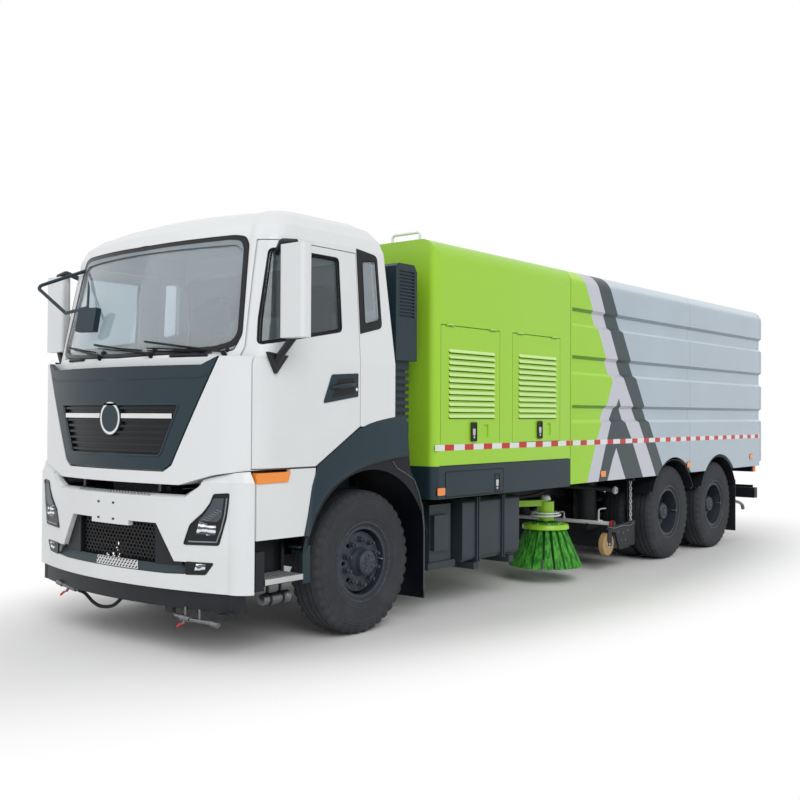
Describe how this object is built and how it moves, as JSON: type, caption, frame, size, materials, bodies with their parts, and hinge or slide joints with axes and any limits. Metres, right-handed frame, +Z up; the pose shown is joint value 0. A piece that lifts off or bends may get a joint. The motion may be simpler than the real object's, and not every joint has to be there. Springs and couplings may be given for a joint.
{
  "type": "street sweeper truck",
  "caption": "Cab-over wash-and-sweep truck with tipping cab and container, steered front wheels, twin rear wheels, louvred engine housing, side brushes and suction nozzle",
  "frame": {"origin": "on the ground, in the middle of the truck's length and width", "axes": "+X to the truck's left, +Y to its rear, +Z up"},
  "size_m": [3.06, 9.6, 3.201],
  "materials": {
    "cab_white": "gloss",
    "slate": "satin",
    "lime": "gloss",
    "container_blue": "gloss",
    "frame_black": "satin",
    "wheel_grey": "satin",
    "tyre": "matt",
    "glass": "clear",
    "lamp": "clear",
    "interior": "matt",
    "black_plastic": "matt",
    "tank_grey": "satin",
    "cast": "rough",
    "chrome": "polished",
    "brush_green": "matt",
    "tan_rubber": "matt"
  },
  "bodies": {
    "chassis": {"chassis_frame": "frame_black", "front_axle": "frame_black", "rear_axles": "frame_black", "engine_block": "cast", "bumper": "cab_white", "front_lamps": "lamp", "front_fairings": "cab_white", "cab_steps": "frame_black", "front_mudguards": "slate", "air_intake": "slate", "side_tanks": "tank_grey", "power_housing": "lime", "skirt_panels": "slate", "auxiliary_engine": "cast", "rear_mudguards": "black_plastic", "suction_nozzle": "frame_black", "rear_underrun": "frame_black"},
    "cab": {"cab_shell": "cab_white", "cab_glass": "glass", "cab_interior": "interior", "wipers": "black_plastic", "look_down_mirror": "slate"},
    "front_flap": {"front_flap": "slate"},
    "container": {"container_shell": "container_blue", "tail_lamps": "container_blue"},
    "tailgate": {"tailgate": "container_blue"},
    "lift_barrel": {"lift_barrel": "frame_black"},
    "lift_rod": {"lift_rod": "chrome"},
    "tie_rod": {"tie_rod": "frame_black"},
    "knuckle_left": {"knuckle_left": "cast"},
    "front_wheel_left": {"front_tyre_left": "tyre", "front_rim_left": "wheel_grey"},
    "rear_wheel_1_left": {"rear_tyres_1_left": "tyre", "rear_rims_1_left": "wheel_grey"},
    "hatch_1_left": {"hatch_1_left": "lime"},
    "rear_wheel_2_left": {"rear_tyres_2_left": "tyre", "rear_rims_2_left": "wheel_grey"},
    "hatch_2_left": {"hatch_2_left": "lime"},
    "door_left": {"door_left": "cab_white", "door_glass_left": "glass", "mirror_left": "slate"},
    "brush_arm_left": {"brush_arm_left": "lime"},
    "brush_left": {"brush_left": "brush_green"},
    "castor_left": {"castor_left": "tan_rubber"},
    "knuckle_right": {"knuckle_right": "cast"},
    "front_wheel_right": {"front_tyre_right": "tyre", "front_rim_right": "wheel_grey"},
    "rear_wheel_1_right": {"rear_tyres_1_right": "tyre", "rear_rims_1_right": "wheel_grey"},
    "hatch_1_right": {"hatch_1_right": "lime"},
    "rear_wheel_2_right": {"rear_tyres_2_right": "tyre", "rear_rims_2_right": "wheel_grey"},
    "hatch_2_right": {"hatch_2_right": "lime"},
    "door_right": {"door_right": "cab_white", "door_glass_right": "glass", "mirror_right": "slate"},
    "brush_arm_right": {"brush_arm_right": "lime"},
    "brush_right": {"brush_right": "brush_green"},
    "castor_right": {"castor_right": "tan_rubber"}
  },
  "joints": [
    {"name": "cab_tip", "type": "hinge", "parent": "chassis", "child": "cab", "pos_m": [0, -4.69, 1.08], "axis": [1, 0, 0], "range_deg": [0, 45]},
    {"name": "front_flap_lift", "type": "hinge", "parent": "cab", "child": "front_flap", "pos_m": [0, -4.63, 2.05], "axis": [-1, 0, 0], "range_deg": [0, 40]},
    {"name": "container_tip", "type": "hinge", "parent": "chassis", "child": "container", "pos_m": [0, 4.5, 1], "axis": [-1, 0, 0], "range_deg": [0, 40]},
    {"name": "tailgate_lift", "type": "hinge", "parent": "container", "child": "tailgate", "pos_m": [0, 4.732, 3.121], "axis": [1, 0, 0], "range_deg": [0, 90]},
    {"name": "lift_barrel_turn", "type": "hinge", "parent": "chassis", "child": "lift_barrel", "pos_m": [0, 1.3, 0.8], "axis": [1, 0, 0], "range_deg": [0, 26]},
    {"name": "lift_rod_slide", "type": "slide", "parent": "lift_barrel", "child": "lift_rod", "axis": [0, 0.9693, 0.246], "range_m": [0, 1.05]},
    {"name": "steer_left", "type": "hinge", "parent": "chassis", "child": "knuckle_left", "pos_m": [0.88, -3.36, 0.5425], "axis": [0, 0, 1], "range_deg": [-35, 35]},
    {"name": "front_wheel_left_spin", "type": "hinge", "parent": "knuckle_left", "child": "front_wheel_left", "pos_m": [1.05, -3.36, 0.5425], "axis": [1, 0, 0], "continuous": true},
    {"name": "rear_wheel_1_left_spin", "type": "hinge", "parent": "chassis", "child": "rear_wheel_1_left", "pos_m": [0.9, 1.99, 0.5425], "axis": [1, 0, 0], "continuous": true},
    {"name": "rear_wheel_2_left_spin", "type": "hinge", "parent": "chassis", "child": "rear_wheel_2_left", "pos_m": [0.9, 3.34, 0.5425], "axis": [1, 0, 0], "continuous": true},
    {"name": "door_left_open", "type": "hinge", "parent": "cab", "child": "door_left", "pos_m": [1.215, -4.51, 2], "axis": [0, 0, -1], "range_deg": [0, 70]},
    {"name": "hatch_1_left_lift", "type": "hinge", "parent": "chassis", "child": "hatch_1_left", "pos_m": [1.281, -2.095, 2.398], "axis": [0, -1, 0], "range_deg": [0, 85]},
    {"name": "hatch_2_left_lift", "type": "hinge", "parent": "chassis", "child": "hatch_2_left", "pos_m": [1.281, -1.04, 2.398], "axis": [0, -1, 0], "range_deg": [0, 85]},
    {"name": "brush_arm_left_swing", "type": "hinge", "parent": "chassis", "child": "brush_arm_left", "pos_m": [0.6, -0.81, 0.775], "axis": [0, 0, -1], "range_deg": [0, 35]},
    {"name": "brush_left_spin", "type": "hinge", "parent": "brush_arm_left", "child": "brush_left", "pos_m": [0.9, -0.26, 0.56], "axis": [0, 0, 1], "continuous": true},
    {"name": "castor_left_spin", "type": "hinge", "parent": "chassis", "child": "castor_left", "pos_m": [1.105, 0.64, 0.29], "axis": [1, 0, 0], "continuous": true},
    {"name": "steer_right", "type": "hinge", "parent": "chassis", "child": "knuckle_right", "pos_m": [-0.88, -3.36, 0.5425], "axis": [0, 0, 1], "range_deg": [-35, 35]},
    {"name": "front_wheel_right_spin", "type": "hinge", "parent": "knuckle_right", "child": "front_wheel_right", "pos_m": [-1.05, -3.36, 0.5425], "axis": [1, 0, 0], "continuous": true},
    {"name": "rear_wheel_1_right_spin", "type": "hinge", "parent": "chassis", "child": "rear_wheel_1_right", "pos_m": [-0.9, 1.99, 0.5425], "axis": [1, 0, 0], "continuous": true},
    {"name": "rear_wheel_2_right_spin", "type": "hinge", "parent": "chassis", "child": "rear_wheel_2_right", "pos_m": [-0.9, 3.34, 0.5425], "axis": [1, 0, 0], "continuous": true},
    {"name": "door_right_open", "type": "hinge", "parent": "cab", "child": "door_right", "pos_m": [-1.215, -4.51, 2], "axis": [0, 0, 1], "range_deg": [0, 70]},
    {"name": "hatch_1_right_lift", "type": "hinge", "parent": "chassis", "child": "hatch_1_right", "pos_m": [-1.281, -2.095, 2.398], "axis": [0, 1, 0], "range_deg": [0, 85]},
    {"name": "hatch_2_right_lift", "type": "hinge", "parent": "chassis", "child": "hatch_2_right", "pos_m": [-1.281, -1.04, 2.398], "axis": [0, 1, 0], "range_deg": [0, 85]},
    {"name": "brush_arm_right_swing", "type": "hinge", "parent": "chassis", "child": "brush_arm_right", "pos_m": [-0.6, -0.81, 0.775], "axis": [0, 0, 1], "range_deg": [0, 35]},
    {"name": "brush_right_spin", "type": "hinge", "parent": "brush_arm_right", "child": "brush_right", "pos_m": [-0.9, -0.26, 0.56], "axis": [0, 0, 1], "continuous": true},
    {"name": "castor_right_spin", "type": "hinge", "parent": "chassis", "child": "castor_right", "pos_m": [-1.105, 0.64, 0.29], "axis": [1, 0, 0], "continuous": true},
    {"name": "tie_rod_turn", "type": "hinge", "parent": "knuckle_left", "child": "tie_rod", "pos_m": [0.88, -3.2, 0.465], "axis": [0, 0, 1], "range_deg": [-35, 35]}
  ],
  "couplings": [
    {"joint": "lift_barrel_turn", "follows": "container_tip", "ratio": 0.638},
    {"joint": "lift_rod_slide", "follows": "container_tip", "m_per_rad": 1.4851},
    {"joint": "steer_right", "follows": "steer_left", "ratio": 1},
    {"joint": "tie_rod_turn", "follows": "steer_left", "ratio": -1}
  ]
}
